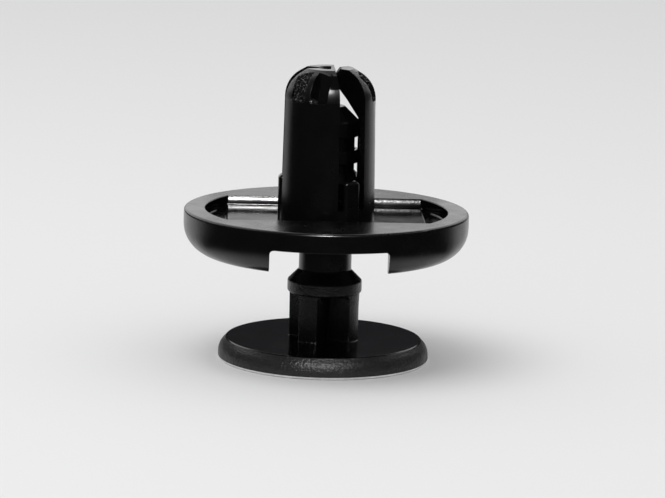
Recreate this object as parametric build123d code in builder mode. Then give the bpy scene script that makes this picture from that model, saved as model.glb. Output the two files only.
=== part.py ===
from build123d import *
import os

# Plastic push rivet, standing on the head of its pulled-out pin.
# Millimetres. The rivet's axis is Z, the head's outer face is at z = 0 and the tip points up.
# Heights named _Z are above the head's outer face, all others above or below the step they name.

# --- split tube, which sets the panel hole ---
LEG_COUNT = 3
TUBE_R = 3.62
TUBE_DRAFT = 0.14
TUBE_WALL = 0.6

# --- pin: head ---
HEAD_R = 8.0
HEAD_T = 1.6
HEAD_BEVEL_IN = 0.58
HEAD_BEVEL_DOWN = 0.66
HEAD_EDGE = 0.12

# --- pin: ribbed shank and collar ---
RIB_COUNT = 4
RIB_STEP = 0.13
RIB_W = 1.56
RIB_TURN = -30.0
RIB_H = 3.55
RIB_CORNER_R = 0.32
COLLAR_H = 0.95
COLLAR_EDGE = 0.14

# --- pin: shaft with lands and grooves ---
SHAFT_R = 2.0
LAND_STEP = 0.3
LAND_ROOT_Z = 12.6
LAND_ROOT_H = 1.2
FLARE_H = 0.7
GROOVE_H = 0.7
LAND_MID_H = 1.0
GROOVE_TOP_H = 1.0
LAND_TIP_H = 1.15
PIN_NOSE_H = 1.1

# --- grommet: flange ---
SEAT_Z = 11.5
RIM_WALL = 2.55
FLANGE_H = 3.45
LIP_R = 2.3
SEAT_EDGE = 0.14
RING_W = 1.6
RECESS_HALF_W = 5.3
RECESS_DEPTH = 0.72
CRESCENT_DROP = 0.2
FLOOR_T = 1.03
BOWL_CORNER = 0.35
NOTCH_W = 8.8
NOTCH_H = 2.0
NOTCH_CORNER_R = 0.32
NOTCH_OVER_HEAD = 1.65

# --- grommet: bore's tapered end and the tip of the legs ---
TAPER_MID_R = 1.7
TAPER_MID_H = 1.55
TAPER_H = 2.8
TIP_HOLE_R = 0.32
TIP_WALL = 1.0
DIMPLE_R = 0.95
DIMPLE_DEPTH = 0.6
TIP_FLAT_R = 1.81
SHOULDER_DROP = 0.97
SHOULDER_R = 2.3

# --- grommet: slots between the legs ---
SLOT_RISE = 0.45
SLOT_MOUTH_W = 2.4
SLOT_ROOT_W = 0.16

# --- grommet: pockets cored out of each leg tip, either side of a ridge ---
RIDGE_W = 0.42
POCKET_W = 1.3
POCKET_H = 2.35
POCKET_FLOOR_D = 0.58
POCKET_TOP_D = 1.48
POCKET_CORNER_R = 0.28

# --- grommet: finger standing in each slot ---
FINGER_PROUD = 0.08
FINGER_W = 1.36
FINGER_T = 0.7
FINGER_H = 2.65
FINGER_CORNER_R = 0.3
FINGER_TOP_EDGE = 0.2

# --- running clearances ---
HEAD_TO_BOWL = 0.25
COLLAR_TO_BORE = 0.19
PIN_TO_TAPER = 0.15

# --- depth of joints and cutters ---
HUB_OVERLAP = 0.3
CLEAR = 5.0

# --- radii and heights worked out from the sizes above ---
BORE_R = TUBE_R - TUBE_WALL
COLLAR_R = BORE_R - COLLAR_TO_BORE
RIB_R = COLLAR_R - RIB_STEP
LAND_R = SHAFT_R + LAND_STEP
TUBE_TIP_R = TUBE_R - TUBE_DRAFT
FINGER_R = TUBE_R + FINGER_PROUD
BOWL_R = HEAD_R + HEAD_TO_BOWL
FLANGE_R = BOWL_R + RIM_WALL
RECESS_R = FLANGE_R - RING_W
CRESCENT_X = (RECESS_R**2 - RECESS_HALF_W**2) ** 0.5

RIB_TOP_Z = HEAD_T + RIB_H
COLLAR_TOP_Z = RIB_TOP_Z + COLLAR_H
NECK_Z = COLLAR_TOP_Z + COLLAR_R - SHAFT_R
LAND_ROOT_TOP_Z = LAND_ROOT_Z + LAND_ROOT_H
GROOVE_Z = LAND_ROOT_TOP_Z + FLARE_H
LAND_MID_Z = GROOVE_Z + GROOVE_H
GROOVE_TOP_Z = LAND_MID_Z + LAND_MID_H
LAND_TIP_Z = GROOVE_TOP_Z + GROOVE_TOP_H
LAND_TIP_TOP_Z = LAND_TIP_Z + LAND_TIP_H

RIM_Z = SEAT_Z - FLANGE_H
RECESS_Z = SEAT_Z - RECESS_DEPTH
CEILING_Z = RECESS_Z - FLOOR_T
NOTCH_TOP_Z = RIM_Z + NOTCH_H
SLOT_Z = SEAT_Z + SLOT_RISE
TAPER_Z = LAND_TIP_TOP_Z + PIN_TO_TAPER
TIP_Z = TAPER_Z + TAPER_H + TIP_WALL
SHOULDER_Z = TIP_Z - SHOULDER_DROP
LEG_STEP = 360.0 / LEG_COUNT


# ---------------------------------------------------------------- pin
with BuildPart() as pin:
    # head: flat disc with a bevelled inner rim
    with BuildSketch(Plane.XZ):
        with BuildLine():
            Polyline(
                (0, 0),
                (HEAD_R, 0),
                (HEAD_R, HEAD_T - HEAD_BEVEL_DOWN),
                (HEAD_R - HEAD_BEVEL_IN, HEAD_T),
                (0, HEAD_T),
                close=True,
            )
        make_face()
    revolve(axis=Axis.Z)
    outer_edge = pin.edges().filter_by(GeomType.CIRCLE).sort_by(Axis.Z)[0]
    chamfer(outer_edge, length=HEAD_EDGE)

    # shank that carries the ribs
    with BuildSketch(Plane.XY.offset(HEAD_T)):
        Circle(RIB_R)
    extrude(amount=RIB_H)

    # collar, neck, lands and blunt nose, turned in one outline
    with BuildSketch(Plane.XZ):
        with BuildLine():
            Polyline(
                (0, RIB_TOP_Z),
                (COLLAR_R - COLLAR_EDGE, RIB_TOP_Z),
                (COLLAR_R, RIB_TOP_Z + COLLAR_EDGE),
                (COLLAR_R, COLLAR_TOP_Z),
                (SHAFT_R, NECK_Z),
                (SHAFT_R, LAND_ROOT_Z - LAND_STEP),
                (LAND_R, LAND_ROOT_Z),
                (LAND_R, LAND_ROOT_TOP_Z),
                (SHAFT_R, GROOVE_Z),
                (SHAFT_R, LAND_MID_Z),
                (LAND_R, LAND_MID_Z),
                (LAND_R, GROOVE_TOP_Z),
                (SHAFT_R, GROOVE_TOP_Z),
                (SHAFT_R, LAND_TIP_Z),
                (LAND_R, LAND_TIP_Z),
                (LAND_R, LAND_TIP_TOP_Z),
                (LAND_R - PIN_NOSE_H, LAND_TIP_TOP_Z + PIN_NOSE_H),
                (0, LAND_TIP_TOP_Z + PIN_NOSE_H),
                close=True,
            )
        make_face()
    revolve(axis=Axis.Z)

    # pockets between the ribs, their roofs rounded into the rib walls
    with BuildPart(mode=Mode.PRIVATE) as rib_pockets:
        with BuildSketch(Plane.XY.offset(HEAD_T)):
            with PolarLocations(0, RIB_COUNT, start_angle=RIB_TURN):
                with Locations((RIB_W / 2, RIB_W / 2)):
                    Rectangle(RIB_R, RIB_R, align=(Align.MIN, Align.MIN))
        extrude(amount=RIB_H)
        pocket_roofs = rib_pockets.faces().filter_by(Axis.Z).sort_by(Axis.Z)[-RIB_COUNT:]
        fillet(pocket_roofs.edges(), radius=RIB_CORNER_R)
    add(rib_pockets.part, mode=Mode.SUBTRACT)

pin.part.label = "push_pin"


# ---------------------------------------------------------------- grommet
slot_reach = TUBE_R + CLEAR
slot_mouth = (SLOT_ROOT_W + (SLOT_MOUTH_W - SLOT_ROOT_W) * slot_reach / TUBE_R) / 2
notch_inner_y = HEAD_R + HEAD_TO_BOWL - NOTCH_OVER_HEAD
notch_cut_h = NOTCH_H + CLEAR

with BuildPart() as grommet:
    # flange: a shallow bowl, open downwards, with a broad rounded lip
    with BuildSketch(Plane.XZ) as flange_outline:
        with BuildLine():
            Polyline(
                (FLANGE_R, RIM_Z),
                (FLANGE_R, SEAT_Z - SEAT_EDGE),
                (FLANGE_R - SEAT_EDGE, SEAT_Z),
                (BORE_R, SEAT_Z),
                (BORE_R, CEILING_Z),
                (BOWL_R - BOWL_CORNER, CEILING_Z),
                (BOWL_R, CEILING_Z - BOWL_CORNER),
                (BOWL_R, RIM_Z),
                close=True,
            )
        make_face()
        lip = flange_outline.vertices().sort_by_distance((FLANGE_R, RIM_Z))[0]
        fillet(lip, radius=LIP_R)
    revolve(axis=Axis.Z)

    # recess in the seat face: a round floor with two straight sides
    with BuildSketch(Plane.XY.offset(RECESS_Z)):
        Circle(RECESS_R)
        Rectangle(2 * FLANGE_R, 2 * RECESS_HALF_W, mode=Mode.INTERSECT)
    extrude(amount=RECESS_DEPTH, mode=Mode.SUBTRACT)

    # the recess is a little deeper in the two crescents beyond the straight sides' ends
    with BuildSketch(Plane.XY.offset(RECESS_Z)):
        Circle(RECESS_R)
        Rectangle(2 * CRESCENT_X, 2 * RECESS_R, mode=Mode.SUBTRACT)
    extrude(amount=-CRESCENT_DROP, mode=Mode.SUBTRACT)

    # two pry notches, front and back, that reach behind the nested head
    for side in (-1, 1):
        with BuildSketch(Plane.XZ.offset(-side * notch_inner_y)):
            with Locations((0, NOTCH_TOP_Z - notch_cut_h / 2)):
                RectangleRounded(NOTCH_W, notch_cut_h, NOTCH_CORNER_R)
        extrude(amount=-side * (FLANGE_R - notch_inner_y + CLEAR), mode=Mode.SUBTRACT)

    # tube: slight draft, rounded shoulder, short cone to a flat tip, tapered end to the bore
    with BuildSketch(Plane.XZ) as tube_outline:
        with BuildLine():
            Polyline(
                (TIP_FLAT_R, TIP_Z),
                (DIMPLE_R, TIP_Z),
                (TIP_HOLE_R, TIP_Z - DIMPLE_DEPTH),
                (TIP_HOLE_R, TAPER_Z + TAPER_H),
                (TAPER_MID_R, TAPER_Z + TAPER_MID_H),
                (BORE_R, TAPER_Z),
                (BORE_R, CEILING_Z),
                (TUBE_R, CEILING_Z + HUB_OVERLAP),
                (TUBE_R, SLOT_Z),
                (TUBE_TIP_R, SHOULDER_Z),
                close=True,
            )
        make_face()
        shoulder = tube_outline.vertices().sort_by_distance((TUBE_TIP_R, SHOULDER_Z))[0]
        fillet(shoulder, radius=SHOULDER_R)
    revolve(axis=Axis.Z)

    # slots with spreading sides part the legs
    with BuildSketch(Plane.XY.offset(SLOT_Z)):
        with PolarLocations(0, LEG_COUNT, start_angle=LEG_STEP / 2):
            Polygon(
                (0, -SLOT_ROOT_W / 2),
                (slot_reach, -slot_mouth),
                (slot_reach, slot_mouth),
                (0, SLOT_ROOT_W / 2),
                align=None,
            )
    extrude(amount=TIP_Z - SLOT_Z + CLEAR, mode=Mode.SUBTRACT)

    # pockets either side of each leg's ridge
    with BuildPart(mode=Mode.PRIVATE) as tip_pockets:
        with BuildSketch(Plane.XZ.offset(RIDGE_W / 2)):
            Polygon(
                (TUBE_TIP_R - POCKET_FLOOR_D, TIP_Z - POCKET_H),
                (TUBE_TIP_R + CLEAR, TIP_Z - POCKET_H),
                (TUBE_TIP_R + CLEAR, TIP_Z),
                (TUBE_TIP_R - POCKET_TOP_D, TIP_Z),
                align=None,
            )
        extrude(amount=POCKET_W)
        floor_edges = tip_pockets.edges().group_by(Axis.Z)[0]
        fillet(floor_edges.filter_by(Axis.X), radius=POCKET_CORNER_R)
        mirror(about=Plane.XZ)
    with PolarLocations(0, LEG_COUNT):
        add(tip_pockets.part, mode=Mode.SUBTRACT)

    # rounded finger in the middle of each slot
    with BuildPart(mode=Mode.PRIVATE) as fingers:
        with BuildSketch(Plane.XY.offset(RECESS_Z)):
            with PolarLocations(FINGER_R - FINGER_T / 2, LEG_COUNT, start_angle=LEG_STEP / 2):
                RectangleRounded(FINGER_T, FINGER_W, FINGER_CORNER_R)
        extrude(amount=RECESS_DEPTH + FINGER_H)
        finger_tops = fingers.faces().filter_by(Axis.Z).sort_by(Axis.Z)[-LEG_COUNT:]
        chamfer(finger_tops.edges(), length=FINGER_TOP_EDGE)
    add(fingers.part)

grommet.part.label = "grommet"

os.makedirs("parts", exist_ok=True)
export_step(pin.part, "parts/push_pin.step")
export_step(grommet.part, "parts/grommet.step")
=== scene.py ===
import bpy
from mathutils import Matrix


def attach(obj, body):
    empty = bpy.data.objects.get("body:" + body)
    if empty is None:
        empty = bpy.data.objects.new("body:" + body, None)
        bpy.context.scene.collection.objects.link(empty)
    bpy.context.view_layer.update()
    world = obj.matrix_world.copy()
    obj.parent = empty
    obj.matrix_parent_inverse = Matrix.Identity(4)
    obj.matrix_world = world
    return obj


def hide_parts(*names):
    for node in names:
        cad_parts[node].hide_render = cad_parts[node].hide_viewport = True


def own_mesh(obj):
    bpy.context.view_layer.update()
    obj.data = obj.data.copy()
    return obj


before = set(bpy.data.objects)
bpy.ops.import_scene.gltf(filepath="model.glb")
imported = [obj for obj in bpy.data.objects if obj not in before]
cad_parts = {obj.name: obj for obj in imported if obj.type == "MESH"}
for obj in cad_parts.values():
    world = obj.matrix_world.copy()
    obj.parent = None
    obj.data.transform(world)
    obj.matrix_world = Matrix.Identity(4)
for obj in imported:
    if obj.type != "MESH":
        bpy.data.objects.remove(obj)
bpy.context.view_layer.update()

import math

import bmesh
import bpy
import numpy as np
from mathutils import Matrix, Vector
from mathutils.bvhtree import BVHTree

MM = 0.001

# the grommet's own heights and radii, from the rim up
RIM_Z = 8.05 * MM
NOTCH_TOP_Z = 10.05 * MM
CRESCENT_Z = 10.58 * MM
RECESS_Z = 10.78 * MM
SEAT_Z = 11.5 * MM
SEAT_INNER_R = 9.2 * MM
SLOT_Z = 11.95 * MM
TUBE_R = 3.62 * MM
POCKET_Z = 19.95 * MM
TIP_R = 3.48 * MM
LEGS = 3

# the pin's own heights, from its head up
HEAD_TOP_Z = 1.6 * MM
RIB_ROOF_Z = 4.83 * MM
RIB_TOP_Z = 5.15 * MM
COLLAR_Z = 6.1 * MM

# room for small errors where heights are compared
HAIR = 0.01 * MM

# a face whose normal has at least this share along Y, either way, looks to the front or back
FACES_FRONT = 0.98

# edges sharper than CREASE are rounded
CREASE = math.radians(24)
SHOULDER_ROUNDING = 0.4 * MM
FLANGE_ROUNDING = 0.1 * MM
PIN_ROUNDING = 0.08 * MM
LEG_ROUNDING = 0.07 * MM
UNDERSIDE_ROUNDING = 0.03 * MM

# a leg leans out about its root, so each is parted from the base on a slanting plane through its
# hinge there
LEAN_SLANT = math.radians(55)
HINGE_R = 2.25 * MM
HINGE_Z = SLOT_Z + 0.11 * MM

# colours of the studio
PAPER_WHITE = (0.8, 0.8, 0.8, 1)
MIRRORED_WHITE = (0.74, 0.74, 0.74, 1)
MIRRORED_SHADE = (0.02, 0.02, 0.022, 1)
MIRRORED_ROOM = (0.035, 0.035, 0.038, 1)


# ------------------------------------------------------------------ camera
def make_camera():
    """The photograph's viewpoint. The lens's axis, which passes through aim, meets the picture
    at axis_px, and the shift puts it there."""
    elevation, azimuth, roll = (math.radians(a) for a in (9.861, -1.9, 1.463))
    aim = Vector((0, 0, 11.485 * MM))
    distance = 259.075 * MM
    focal_px = 3419.78
    axis_px = (326.484, 209.29)
    width, height = 665, 498
    forward = Vector((
        -math.sin(azimuth) * math.cos(elevation),
        math.cos(azimuth) * math.cos(elevation),
        -math.sin(elevation),
    ))
    level = forward.cross(Vector((0, 0, 1))).normalized()
    upright = level.cross(forward)
    right = math.cos(roll) * level + math.sin(roll) * upright
    up = -math.sin(roll) * level + math.cos(roll) * upright
    matrix = Matrix((right, up, -forward)).transposed().to_4x4()
    matrix.translation = aim - forward * distance
    data = bpy.data.cameras.new("camera")
    data.sensor_width = 36
    data.lens = focal_px * 36 / width
    data.shift_x = -(axis_px[0] - width / 2) / width
    data.shift_y = (axis_px[1] - height / 2) / width
    data.clip_start = 1 * MM
    data.clip_end = 20
    camera = bpy.data.objects.new("camera", data)
    bpy.context.scene.collection.objects.link(camera)
    camera.matrix_world = matrix
    bpy.context.scene.camera = camera


# ------------------------------------------------------------------ meshes
def reach(point):
    """The point's distance from the rivet's axis."""
    return math.hypot(point.x, point.y)


def in_recess(point):
    """Whether the point lies in the recess of the seat face, seen from above, and clear of the
    tube's foot."""
    return TUBE_R + 1 * MM < reach(point) < SEAT_INNER_R + 0.3 * MM


def add(name, mesh):
    piece = bpy.data.objects.new(name, mesh)
    bpy.context.scene.collection.objects.link(piece)
    return piece


def softened(node, rounding, as_is_below=-1 * MM):
    """The node's mesh with its sharp edges rounded over, by rounding(edge) in metres. Its flat
    parts become single faces, but not those that lie wholly below as_is_below."""
    speck = 0.02 * MM
    flat, shaded_sharp = math.radians(1), math.radians(38)
    bm = bmesh.new()
    bm.from_mesh(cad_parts[node].data)
    bmesh.ops.remove_doubles(bm, verts=bm.verts, dist=speck)
    bmesh.ops.dissolve_degenerate(bm, dist=speck, edges=bm.edges)
    inner = [e for e in bm.edges if max(v.co.z for v in e.verts) > as_is_below]
    bmesh.ops.dissolve_limit(bm, angle_limit=flat, verts=bm.verts, edges=inner)
    weight = bm.edges.layers.float.new("bevel_weight_edge")
    for edge in bm.edges:
        if len(edge.link_faces) == 2 and edge.calc_face_angle() > CREASE:
            edge[weight] = rounding(edge) / SHOULDER_ROUNDING
    mesh = bpy.data.meshes.new(node)
    bm.to_mesh(mesh)
    bm.free()
    piece = add(node + "_soft", mesh)
    bevel = piece.modifiers.new("rounding", "BEVEL")
    bevel.limit_method = "WEIGHT"
    bevel.width = SHOULDER_ROUNDING
    bevel.segments = 3
    bevel.use_clamp_overlap = False
    bevel.loop_slide = False
    normals = piece.modifiers.new("normals", "WEIGHTED_NORMAL")
    normals.keep_sharp = True
    mesh.shade_smooth()
    mesh.set_sharp_from_angle(angle=shaded_sharp)
    depsgraph = bpy.context.evaluated_depsgraph_get()
    result = bpy.data.meshes.new_from_object(piece.evaluated_get(depsgraph))
    bpy.data.objects.remove(piece)
    return result


class NormalSource:
    """Gives the shading normal of a mesh at a point, weighted between its triangle's corners."""

    search = 0.05 * MM
    smallest_area = 1e-30

    def __init__(self, mesh):
        mesh.calc_loop_triangles()
        self.points = np.array([v.co for v in mesh.vertices])
        self.triangles = [tuple(t.vertices) for t in mesh.loop_triangles]
        self.loops = [tuple(t.loops) for t in mesh.loop_triangles]
        self.normals = np.array([n.vector for n in mesh.corner_normals])
        self.tree = BVHTree.FromPolygons([Vector(p) for p in self.points], self.triangles)

    def at(self, point, flat, alike):
        """The normal, or None where no triangle close by faces the way that flat does."""
        near = self.tree.find_nearest_range(point, self.search)
        same = [(gap, index) for _, facing, index, gap in near if facing.dot(flat) >= alike]
        if not same:
            return None
        index = min(same)[1]
        a, b, c = (self.points[i] for i in self.triangles[index])
        side, other, way = b - a, c - a, np.array(point) - a
        ss, so, oo = side @ side, side @ other, other @ other
        ws, wo = way @ side, way @ other
        area = ss * oo - so * so
        if area < self.smallest_area:
            return None
        v = (oo * ws - so * wo) / area
        w = (ss * wo - so * ws) / area
        normal = np.clip((1 - v - w, v, w), 0, 1) @ self.normals[list(self.loops[index])]
        return normal / max(np.linalg.norm(normal), 1e-9)


class BowedWalls:
    """Shades the recess's straight sides as if they bowed outward a little towards the seat. The
    sine of their lean is foot at the recess's floor and grows by one in each bow of height."""

    foot = 0.163
    bow = 1.85 * MM

    def at(self, point, flat, alike):
        height = point.z - RECESS_Z
        if abs(flat.y) < alike or not 0 < height < SEAT_Z - RECESS_Z or not in_recess(point):
            return None
        lean = math.asin(self.foot + height / self.bow)
        return np.array((0, math.copysign(math.cos(lean), flat.y), math.sin(lean)))


def shaded_piece(bm, name, sources):
    """A new object from bm. Each corner's normal comes from the first source that has one for a
    spot just inside the corner."""
    inset = 0.02
    many_sided = [f for f in bm.faces if len(f.verts) > 4]
    bmesh.ops.triangulate(bm, faces=many_sided, ngon_method="EAR_CLIP")
    mesh = bpy.data.meshes.new(name)
    bm.to_mesh(mesh)
    bm.free()
    mesh.shade_smooth()
    normals = [None] * len(mesh.loops)
    for face in mesh.polygons:
        for loop in face.loop_indices:
            corner = mesh.vertices[mesh.loops[loop].vertex_index].co
            near = corner + (face.center - corner) * inset
            found = (source.at(near, face.normal, alike) for source, alike in sources)
            normals[loop] = next((tuple(n) for n in found if n is not None), tuple(face.normal))
    mesh.normals_split_custom_set(normals)
    return add(name, mesh)


def islands(faces):
    """Groups of the faces that join through shared edges, in the same order on every run."""
    left = dict.fromkeys(faces)
    groups = []
    while left:
        group = [left.popitem()[0]]
        for face in group:
            near = [f for e in face.edges for f in e.link_faces if f in left]
            group.extend(dict.fromkeys(near))
            for neighbour in near:
                left.pop(neighbour, None)
        groups.append(group)
    return groups


def halved(bm, faces, place, normal):
    """Cuts the faces on a plane, and returns those of them on the plane's upper side."""
    touching = 1e-8
    edges = dict.fromkeys(e for f in faces for e in f.edges)
    verts = dict.fromkeys(v for f in faces for v in f.verts)
    cut = bmesh.ops.bisect_plane(
        bm, geom=[*verts, *edges, *faces], dist=touching, plane_co=place, plane_no=normal
    )
    cut_faces = [f for f in cut["geom"] if isinstance(f, bmesh.types.BMFace)]
    return [f for f in cut_faces if (f.calc_center_median() - place).dot(normal) > touching]


def taken_out(bm, faces):
    """Moves the faces into a new bmesh."""
    part = bmesh.new()
    verts = dict.fromkeys(v for f in faces for v in f.verts)
    twin = {v: part.verts.new(v.co) for v in verts}
    for face in faces:
        part.faces.new([twin[v] for v in face.verts])
    bmesh.ops.delete(bm, geom=faces, context="FACES")
    return part


def capped(bm):
    """Closes the holes that cutting left."""
    open_edges = [e for e in bm.edges if len(e.link_faces) == 1]
    bmesh.ops.holes_fill(bm, edges=open_edges, sides=0)


def span(edge):
    """The edge's lowest and highest height, and how far out it reaches."""
    low, high = sorted(v.co.z for v in edge.verts)
    return low, high, max(reach(v.co) for v in edge.verts)


def grommet_rounding(edge):
    """Nothing where the faces are too narrow for it: at the tips, under the rim, and in the bore
    with the slots' floors and the tube's foot."""
    low, high, far = span(edge)
    at_tip = high > POCKET_Z - 0.3 * MM
    under_rim = high < RIM_Z + HAIR
    in_bore = far < TUBE_R + 0.3 * MM and high < SLOT_Z + HAIR
    in_from_seat = low > SEAT_Z - HAIR and far < SEAT_INNER_R + 0.1 * MM
    on_underside = high < NOTCH_TOP_Z + 0.15 * MM
    if at_tip or under_rim or in_bore:
        return 0
    if in_from_seat:
        return LEG_ROUNDING
    return UNDERSIDE_ROUNDING if on_underside else FLANGE_ROUNDING


def pin_rounding(edge):
    """The head's shoulder is the widest. The narrow steps at the ribs' tops stay sharp."""
    low, high, far = span(edge)
    on_rib_tops = low > RIB_ROOF_Z - 0.05 * MM and high < RIB_TOP_Z + 0.02 * MM
    on_shoulder = far > 6.5 * MM and 0.5 * MM < low < 1.3 * MM
    if on_rib_tops:
        return 0
    return SHOULDER_ROUNDING if on_shoulder else PIN_ROUNDING


def normal_sources(node, rounded):
    """The CAD's own normals, and those of the rounded edges. With each goes the cosine of the
    widest angle between its facet and the piece's."""
    same_facet, same_rounding = 0.998, 0.5
    cad = NormalSource(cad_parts[node].data)
    return [(cad, same_facet), (NormalSource(rounded), same_rounding)]


def leg_direction(turn):
    """The way from the axis to the middle of a leg."""
    angle = 2 * math.pi * turn / LEGS
    return Vector((math.cos(angle), math.sin(angle), 0))


def make_grommet():
    """The grommet as its base and three springy legs, parted on slanting planes at their roots."""
    whole = softened("grommet", grommet_rounding, as_is_below=RIM_Z + HAIR)
    sources = [(BowedWalls(), FACES_FRONT), *normal_sources("grommet", whole)]
    bm = bmesh.new()
    bm.from_mesh(whole)
    root = Vector((0, 0, HINGE_Z))
    above = islands(halved(bm, bm.faces[:], root, Vector((0, 0, 1))))
    pieces = []
    for group in above:
        if max(v.co.z for f in group for v in f.verts) < POCKET_Z:
            continue
        middle = sum((f.calc_center_median() for f in group), Vector())
        turn = max(range(LEGS), key=lambda k: middle.dot(leg_direction(k)))
        out = leg_direction(turn)
        hinge = root + out * HINGE_R
        normal = Vector((0, 0, math.cos(LEAN_SLANT))) - out * math.sin(LEAN_SLANT)
        leg = taken_out(bm, halved(bm, group, hinge, normal))
        capped(leg)
        capped(bm)
        piece = shaded_piece(leg, "leg_%d" % (turn + 1), sources)
        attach(piece, "grommet")
        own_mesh(piece)
        pieces.append(piece)
    base = shaded_piece(bm, "flange_and_sleeve", sources)
    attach(base, "grommet")
    pieces.append(base)
    for piece in pieces:
        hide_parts("grommet")
    return pieces


def make_pin():
    whole = softened("push_pin", pin_rounding)
    bm = bmesh.new()
    bm.from_mesh(whole)
    piece = shaded_piece(bm, "pin_moulding", normal_sources("push_pin", whole))
    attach(piece, "pin")
    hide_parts("push_pin")
    return piece


# ------------------------------------------------------------------ materials
class Nylon:
    """Black nylon, whose noise sets its tint, roughness and bumps. Sizes are in metres."""

    def __init__(self, name, roughness, spread=0.05):
        self.material = bpy.data.materials.new(name)
        self.material.use_nodes = True
        self.tree = self.material.node_tree
        self.shader = self.tree.nodes["Principled BSDF"]
        self.shader.inputs["IOR"].default_value = 1.5
        self.place = self.node("ShaderNodeTexCoord").outputs["Object"]
        self.normal = None
        patches = self.noise(2.2 * MM, 3)
        self.drive("Roughness", patches, roughness - spread, roughness + spread)
        self.tint((0.0012, 0.0012, 0.0014, 1), (0.0034, 0.0033, 0.0038, 1), 1.4 * MM)

    def node(self, kind, **inputs):
        made = self.tree.nodes.new(kind)
        for name, value in inputs.items():
            made.inputs[name.replace("_", " ")].default_value = value
        return made

    def join(self, source, target):
        self.tree.links.new(source, target)

    def stretched(self, stretch):
        """The piece's own coordinates, drawn out along some axes."""
        mapping = self.node("ShaderNodeMapping", Scale=[1 / k for k in stretch])
        self.join(self.place, mapping.inputs["Vector"])
        return mapping.outputs["Vector"]

    def around(self, stretch):
        """Coordinates that run around Z at the head's radius, drawn out along the way round."""
        head_r = 8 * MM
        split = self.node("ShaderNodeSeparateXYZ")
        self.join(self.place, split.inputs[0])
        angle = self.node("ShaderNodeMath")
        angle.operation = "ARCTAN2"
        self.join(split.outputs["Y"], angle.inputs[0])
        self.join(split.outputs["X"], angle.inputs[1])
        arc = self.node("ShaderNodeMath")
        arc.operation = "MULTIPLY"
        arc.inputs[1].default_value = head_r / stretch
        self.join(angle.outputs[0], arc.inputs[0])
        both = self.node("ShaderNodeCombineXYZ")
        self.join(arc.outputs[0], both.inputs["X"])
        self.join(split.outputs["Z"], both.inputs["Z"])
        return both.outputs[0]

    def noise(self, size, detail=2, place=None, rough=0.5):
        made = self.node("ShaderNodeTexNoise", Scale=1 / size, Detail=detail, Roughness=rough)
        self.join(place or self.place, made.inputs["Vector"])
        return made.outputs["Fac"]

    def drive(self, socket, source, low, high):
        """Sets the shader's socket between low and high, as the noise goes from 0.3 to 0.7."""
        made = self.node("ShaderNodeMapRange", From_Min=0.3, From_Max=0.7, To_Min=low, To_Max=high)
        self.join(source, made.inputs["Value"])
        self.join(made.outputs["Result"], self.shader.inputs[socket])

    def tint(self, dark, light, size):
        mix = self.node("ShaderNodeMix")
        mix.data_type = "RGBA"
        mix.inputs["A"].default_value = dark
        mix.inputs["B"].default_value = light
        self.join(self.noise(size, 4), mix.inputs["Factor"])
        self.join(mix.outputs["Result"], self.shader.inputs["Base Color"])

    def round_off(self, radius):
        """Shades edges as if rounded to the radius."""
        made = self.node("ShaderNodeBevel", Radius=radius)
        self.normal = made.outputs["Normal"]
        self.join(self.normal, self.shader.inputs["Normal"])

    def bump(self, height, depth):
        """Adds relief, depth metres from the lowest to the highest of height."""
        made = self.node("ShaderNodeBump", Distance=depth)
        self.join(height, made.inputs["Height"])
        if self.normal:
            self.join(self.normal, made.inputs["Normal"])
        self.normal = made.outputs["Normal"]
        self.join(self.normal, self.shader.inputs["Normal"])


def moulded():
    """The general skin: slow waves from the flow of the plastic, and a fine grain."""
    nylon = Nylon("moulded_nylon", 0.24)
    nylon.bump(nylon.noise(1.6 * MM, 2), 0.012 * MM)
    nylon.bump(nylon.noise(0.07 * MM, 2), 0.0012 * MM)
    return nylon.material


def polished():
    """The recess's floor, the head's top and the tips' smooth pockets, off polished cores."""
    nylon = Nylon("polished_nylon", 0.09, 0.03)
    nylon.bump(nylon.noise(1.8 * MM, 1), 0.004 * MM)
    return nylon.material


def sparked():
    """The pin's ribs and collar, off a spark-eroded core, with coarse glittering grain."""
    nylon = Nylon("sparked_nylon", 0.26)
    nylon.bump(nylon.noise(0.15 * MM, 2, rough=0.7), 0.06 * MM)
    return nylon.material


def honed():
    """The recess's straight sides, with a lighter grain."""
    nylon = Nylon("honed_nylon", 0.2, 0.04)
    nylon.bump(nylon.noise(0.25 * MM, 2, rough=0.7), 0.007 * MM)
    return nylon.material


def scuffed():
    """The head's rim: fine scratches run around it, from use."""
    nylon = Nylon("scuffed_nylon", 0.4, 0.08)
    nylon.tint((0.006, 0.006, 0.0066, 1), (0.022, 0.021, 0.023, 1), 0.35 * MM)
    nylon.bump(nylon.noise(0.1 * MM, 3, nylon.around(7)), 0.03 * MM)
    nylon.bump(nylon.noise(0.22 * MM, 2), 0.05 * MM)
    return nylon.material


def painted_edge_reflection():
    """The lowest edge of the head, painted pale: a painted reflection of the white floor that this
    edge mirrors.
    """
    nylon = Nylon("painted_edge_reflection_nylon", 0.5)
    nylon.tint((0.5, 0.5, 0.5, 1), (0.9, 0.9, 0.9, 1), 0.5 * MM)
    return nylon.material


def drawn():
    """The slots' faces, with fine marks along the way that the core draws."""
    nylon = Nylon("drawn_nylon", 0.2)
    nylon.bump(nylon.noise(0.1 * MM, 2, nylon.stretched((1, 1, 14))), 0.008 * MM)
    return nylon.material


def tip():
    """The domed tip, whose crisp pocket edges catch the light as if just rounded."""
    nylon = Nylon("tip_nylon", 0.3)
    nylon.round_off(0.06 * MM)
    nylon.bump(nylon.noise(0.5 * MM, 2), 0.008 * MM)
    return nylon.material


def sparked_tip():
    """The tips' grainy pockets, off a spark-eroded core."""
    nylon = Nylon("sparked_tip_nylon", 0.24)
    nylon.round_off(0.06 * MM)
    nylon.bump(nylon.noise(0.22 * MM, 2, rough=0.7), 0.14 * MM)
    return nylon.material


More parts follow.
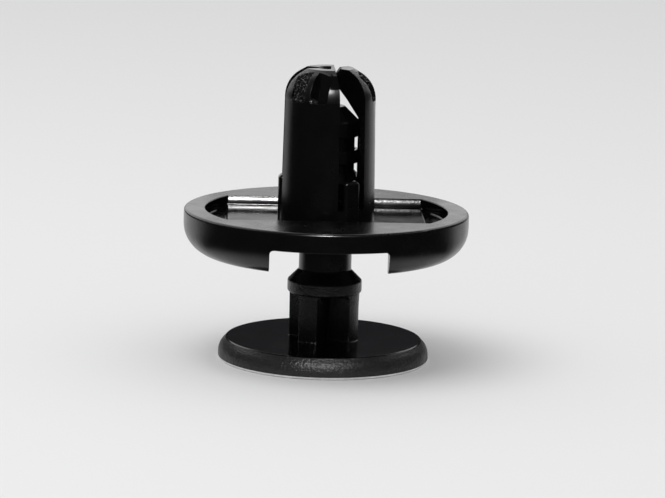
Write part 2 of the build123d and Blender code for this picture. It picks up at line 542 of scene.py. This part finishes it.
FINISHES = (moulded, polished, sparked, honed, scuffed, painted_edge_reflection, drawn, tip, sparked_tip)
MOULDED, POLISHED, SPARKED, HONED, SCUFFED, PAINTED_EDGE_REFLECTION, DRAWN, TIP, SPARKED_TIP = range(len(FINISHES))


def is_slot_face(centre, normal, out, turned):
    """Whether a face of the leg that points out, turned degrees round from the leg's middle, is
    one of the two upright faces along its slots."""
    across = Vector((-centre.y, centre.x, 0)).normalized()
    beside_slot = abs(turned) > 40
    upright = abs(normal.z) < 0.3
    looks_out = abs(normal.dot(out)) > 0.8
    looks_across = abs(normal.dot(across)) > 0.75
    return beside_slot and upright and looks_across and not looks_out


def grommet_finish(centre, normal):
    """The finish of a face of the grommet. Beside each tip's ridge, one pocket is grainy and the
    other smooth."""
    half_ridge = 4
    far = reach(centre)
    if CRESCENT_Z - 0.1 * MM < centre.z < SEAT_Z - HAIR and in_recess(centre):
        return HONED if abs(normal.y) > FACES_FRONT else POLISHED
    if centre.z < SLOT_Z + 0.3 * MM or far > TUBE_R + 0.02 * MM:
        return MOULDED
    out = max((leg_direction(k) for k in range(LEGS)), key=centre.dot)
    turned = math.degrees(math.atan2(out.cross(centre).z, out.dot(centre)))
    if is_slot_face(centre, normal, out, turned):
        return DRAWN
    if centre.z < POCKET_Z or far < 2 * MM:
        return MOULDED
    if abs(turned) < half_ridge or far > TIP_R - 0.3 * MM:
        return TIP
    return SPARKED_TIP if turned < 0 else POLISHED


def pin_finish(centre, normal):
    """The finish of a face of the pin. The head's edge runs from a pale painted reflection below to
    SCUFFED.
    """
    far = reach(centre)
    on_lowest_edge = far > 7.3 * MM and HAIR < centre.z < 0.2 * MM
    on_rim = far > 7 * MM and centre.z < HEAD_TOP_Z - 0.1 * MM
    on_top = normal.z > 0.7 and centre.z < HEAD_TOP_Z + HAIR
    on_ribs = far < 3 * MM and HEAD_TOP_Z + 2 * HAIR < centre.z < COLLAR_Z
    # painted reflection: the head's lowest edge is coloured pale for the white floor that it mirrors
    if on_lowest_edge:
        return PAINTED_EDGE_REFLECTION
    if on_rim:
        return SCUFFED
    if on_top:
        return POLISHED
    return SPARKED if on_ribs else MOULDED


def dress(piece, materials, finish):
    """Gives each face of the piece the material whose place in materials finish says."""
    piece.data.materials.clear()
    for material in materials:
        piece.data.materials.append(material)
    for face in piece.data.polygons:
        face.material_index = finish(face.center, face.normal)


# ------------------------------------------------------------------ studio
def shader_tree(owner):
    """The nodes and the links of a material or world."""
    owner.use_nodes = True
    return owner.node_tree.nodes, owner.node_tree.links


def smooth_step(nodes, links, source, start, stop):
    """Goes gently from 0 to 1 as the source goes from start to stop."""
    step = nodes.new("ShaderNodeMapRange")
    step.interpolation_type = "SMOOTHSTEP"
    step.inputs["From Min"].default_value = start
    step.inputs["From Max"].default_value = stop
    links.new(source, step.inputs["Value"])
    return step.outputs["Result"]


def mixed(nodes, links, factor, first):
    """A colour mix that starts from first. Its second colour is still to be set."""
    mix = nodes.new("ShaderNodeMix")
    mix.data_type = "RGBA"
    mix.inputs["A"].default_value = first
    links.new(factor, mix.inputs["Factor"])
    return mix


def sheet(name, corners):
    """A flat stage piece that spans the corners."""
    mesh = bpy.data.meshes.new(name)
    mesh.from_pydata(corners, [], [range(len(corners))])
    piece = add(name, mesh)
    return piece


def make_floor():
    """A white floor. What mirrors it sees it white close by and behind, and dark elsewhere."""
    half = 3
    near_start, near_full = 24 * MM, 13 * MM
    behind_start, behind_full = 0.18, 0.62
    floor = sheet("floor", [(-half, -half, 0), (half, -half, 0), (half, half, 0), (-half, half, 0)])
    material = bpy.data.materials.new("floor")
    nodes, links = shader_tree(material)
    shader = nodes["Principled BSDF"]
    shader.inputs["Roughness"].default_value = 0.9
    shader.inputs["Specular IOR Level"].default_value = 0.1
    place = nodes.new("ShaderNodeNewGeometry").outputs["Position"]
    length, way = (nodes.new("ShaderNodeVectorMath") for _ in range(2))
    length.operation, way.operation = "LENGTH", "NORMALIZE"
    links.new(place, length.inputs[0])
    links.new(place, way.inputs[0])
    split = nodes.new("ShaderNodeSeparateXYZ")
    links.new(way.outputs["Vector"], split.inputs[0])
    near = smooth_step(nodes, links, length.outputs["Value"], near_start, near_full)
    behind = smooth_step(nodes, links, split.outputs["Y"], behind_start, behind_full)
    either = nodes.new("ShaderNodeMath")
    either.operation = "MAXIMUM"
    links.new(near, either.inputs[0])
    links.new(behind, either.inputs[1])
    mirror = mixed(nodes, links, either.outputs[0], MIRRORED_SHADE)
    mirror.inputs["B"].default_value = MIRRORED_WHITE
    path = nodes.new("ShaderNodeLightPath")
    mix = mixed(nodes, links, path.outputs["Is Glossy Ray"], PAPER_WHITE)
    links.new(mirror.outputs["Result"], mix.inputs["B"])
    links.new(mix.outputs["Result"], shader.inputs["Base Color"])
    floor.data.materials.append(material)


def mirrored_sheet(name, corners, strength):
    """An evenly bright upright sheet, seen only in the part's reflections."""
    made = sheet(name, corners)
    for ray in ("camera", "diffuse", "transmission", "shadow", "volume_scatter"):
        setattr(made, "visible_" + ray, False)
    material = bpy.data.materials.new(name)
    nodes, links = shader_tree(material)
    nodes.remove(nodes["Principled BSDF"])
    glow = nodes.new("ShaderNodeEmission")
    glow.inputs["Strength"].default_value = strength
    links.new(glow.outputs[0], nodes["Material Output"].inputs["Surface"])
    material.cycles.emission_sampling = "NONE"
    made.data.materials.append(material)


def make_backdrop():
    """A white sheet behind the part, and before it two dim patches of painted shadow that its recess
    mirrors.
    """
    back, painted_shadow_back = 30 * MM, 29 * MM
    right_side = [(14 * MM, 12.5 * MM), (105 * MM, 58 * MM), (105 * MM, 100 * MM)]
    left_side = [(-x, z) for x, z in reversed(right_side)]
    mirrored_sheet("backdrop", [(x, back, z) for x, z in right_side + left_side], 1.05)
    low, high, half_width = 15.2 * MM, 17 * MM, 3 * MM
    # painted shadow: the two dim patches stand in for the part's own shadow falling on the sheet
    # behind it
    for name, middle, strength in (("left_painted_shadow", -6 * MM, 0.5), ("right_painted_shadow", 7.5 * MM, 0.1)):
        left, right = middle - half_width, middle + half_width
        corners = [(left, low), (right, low), (right, high), (left, high)]
        mirrored_sheet(name, [(x, painted_shadow_back, z) for x, z in corners], strength)


def make_world():
    """Even white light all round, and a dark room in reflections."""
    world = bpy.data.worlds.new("studio")
    bpy.context.scene.world = world
    nodes, links = shader_tree(world)
    back = nodes["Background"]
    path = nodes.new("ShaderNodeLightPath")
    mix = mixed(nodes, links, path.outputs["Is Glossy Ray"], PAPER_WHITE)
    mix.inputs["B"].default_value = MIRRORED_ROOM
    links.new(mix.outputs["Result"], back.inputs["Color"])
    world.cycles.sampling_method = "NONE"


def lamp(name, place, aim, size, energy):
    """A round lamp that points at aim. Its energy is in watts."""
    data = bpy.data.lights.new(name, "AREA")
    data.shape = "DISK"
    data.size = size
    data.energy = energy
    made = add(name, data)
    made.location = place
    made.rotation_euler = (Vector(aim) - Vector(place)).to_track_quat("-Z", "Y").to_euler()
    return made


def make_lights():
    """A small lamp in front, high up, for the glints, and a large soft one overhead for the rest."""
    glint_place = (-8 * MM, -178 * MM, 172 * MM)
    glint = lamp("glint", glint_place, aim=(0, 0, 12 * MM), size=30 * MM, energy=0.42)
    glint.visible_diffuse = False
    overhead_place = (-100 * MM, -50 * MM, 300 * MM)
    overhead = lamp("overhead", overhead_place, aim=(0, 0, 10 * MM), size=250 * MM, energy=0.32)
    overhead.visible_glossy = False


make_camera()
grommet = make_grommet()
pin = make_pin()
finishes = [make() for make in FINISHES]
for piece in grommet:
    dress(piece, finishes, grommet_finish)
dress(pin, finishes, pin_finish)
make_floor()
make_backdrop()
make_world()
make_lights()
bpy.context.scene.view_settings.view_transform = "Standard"
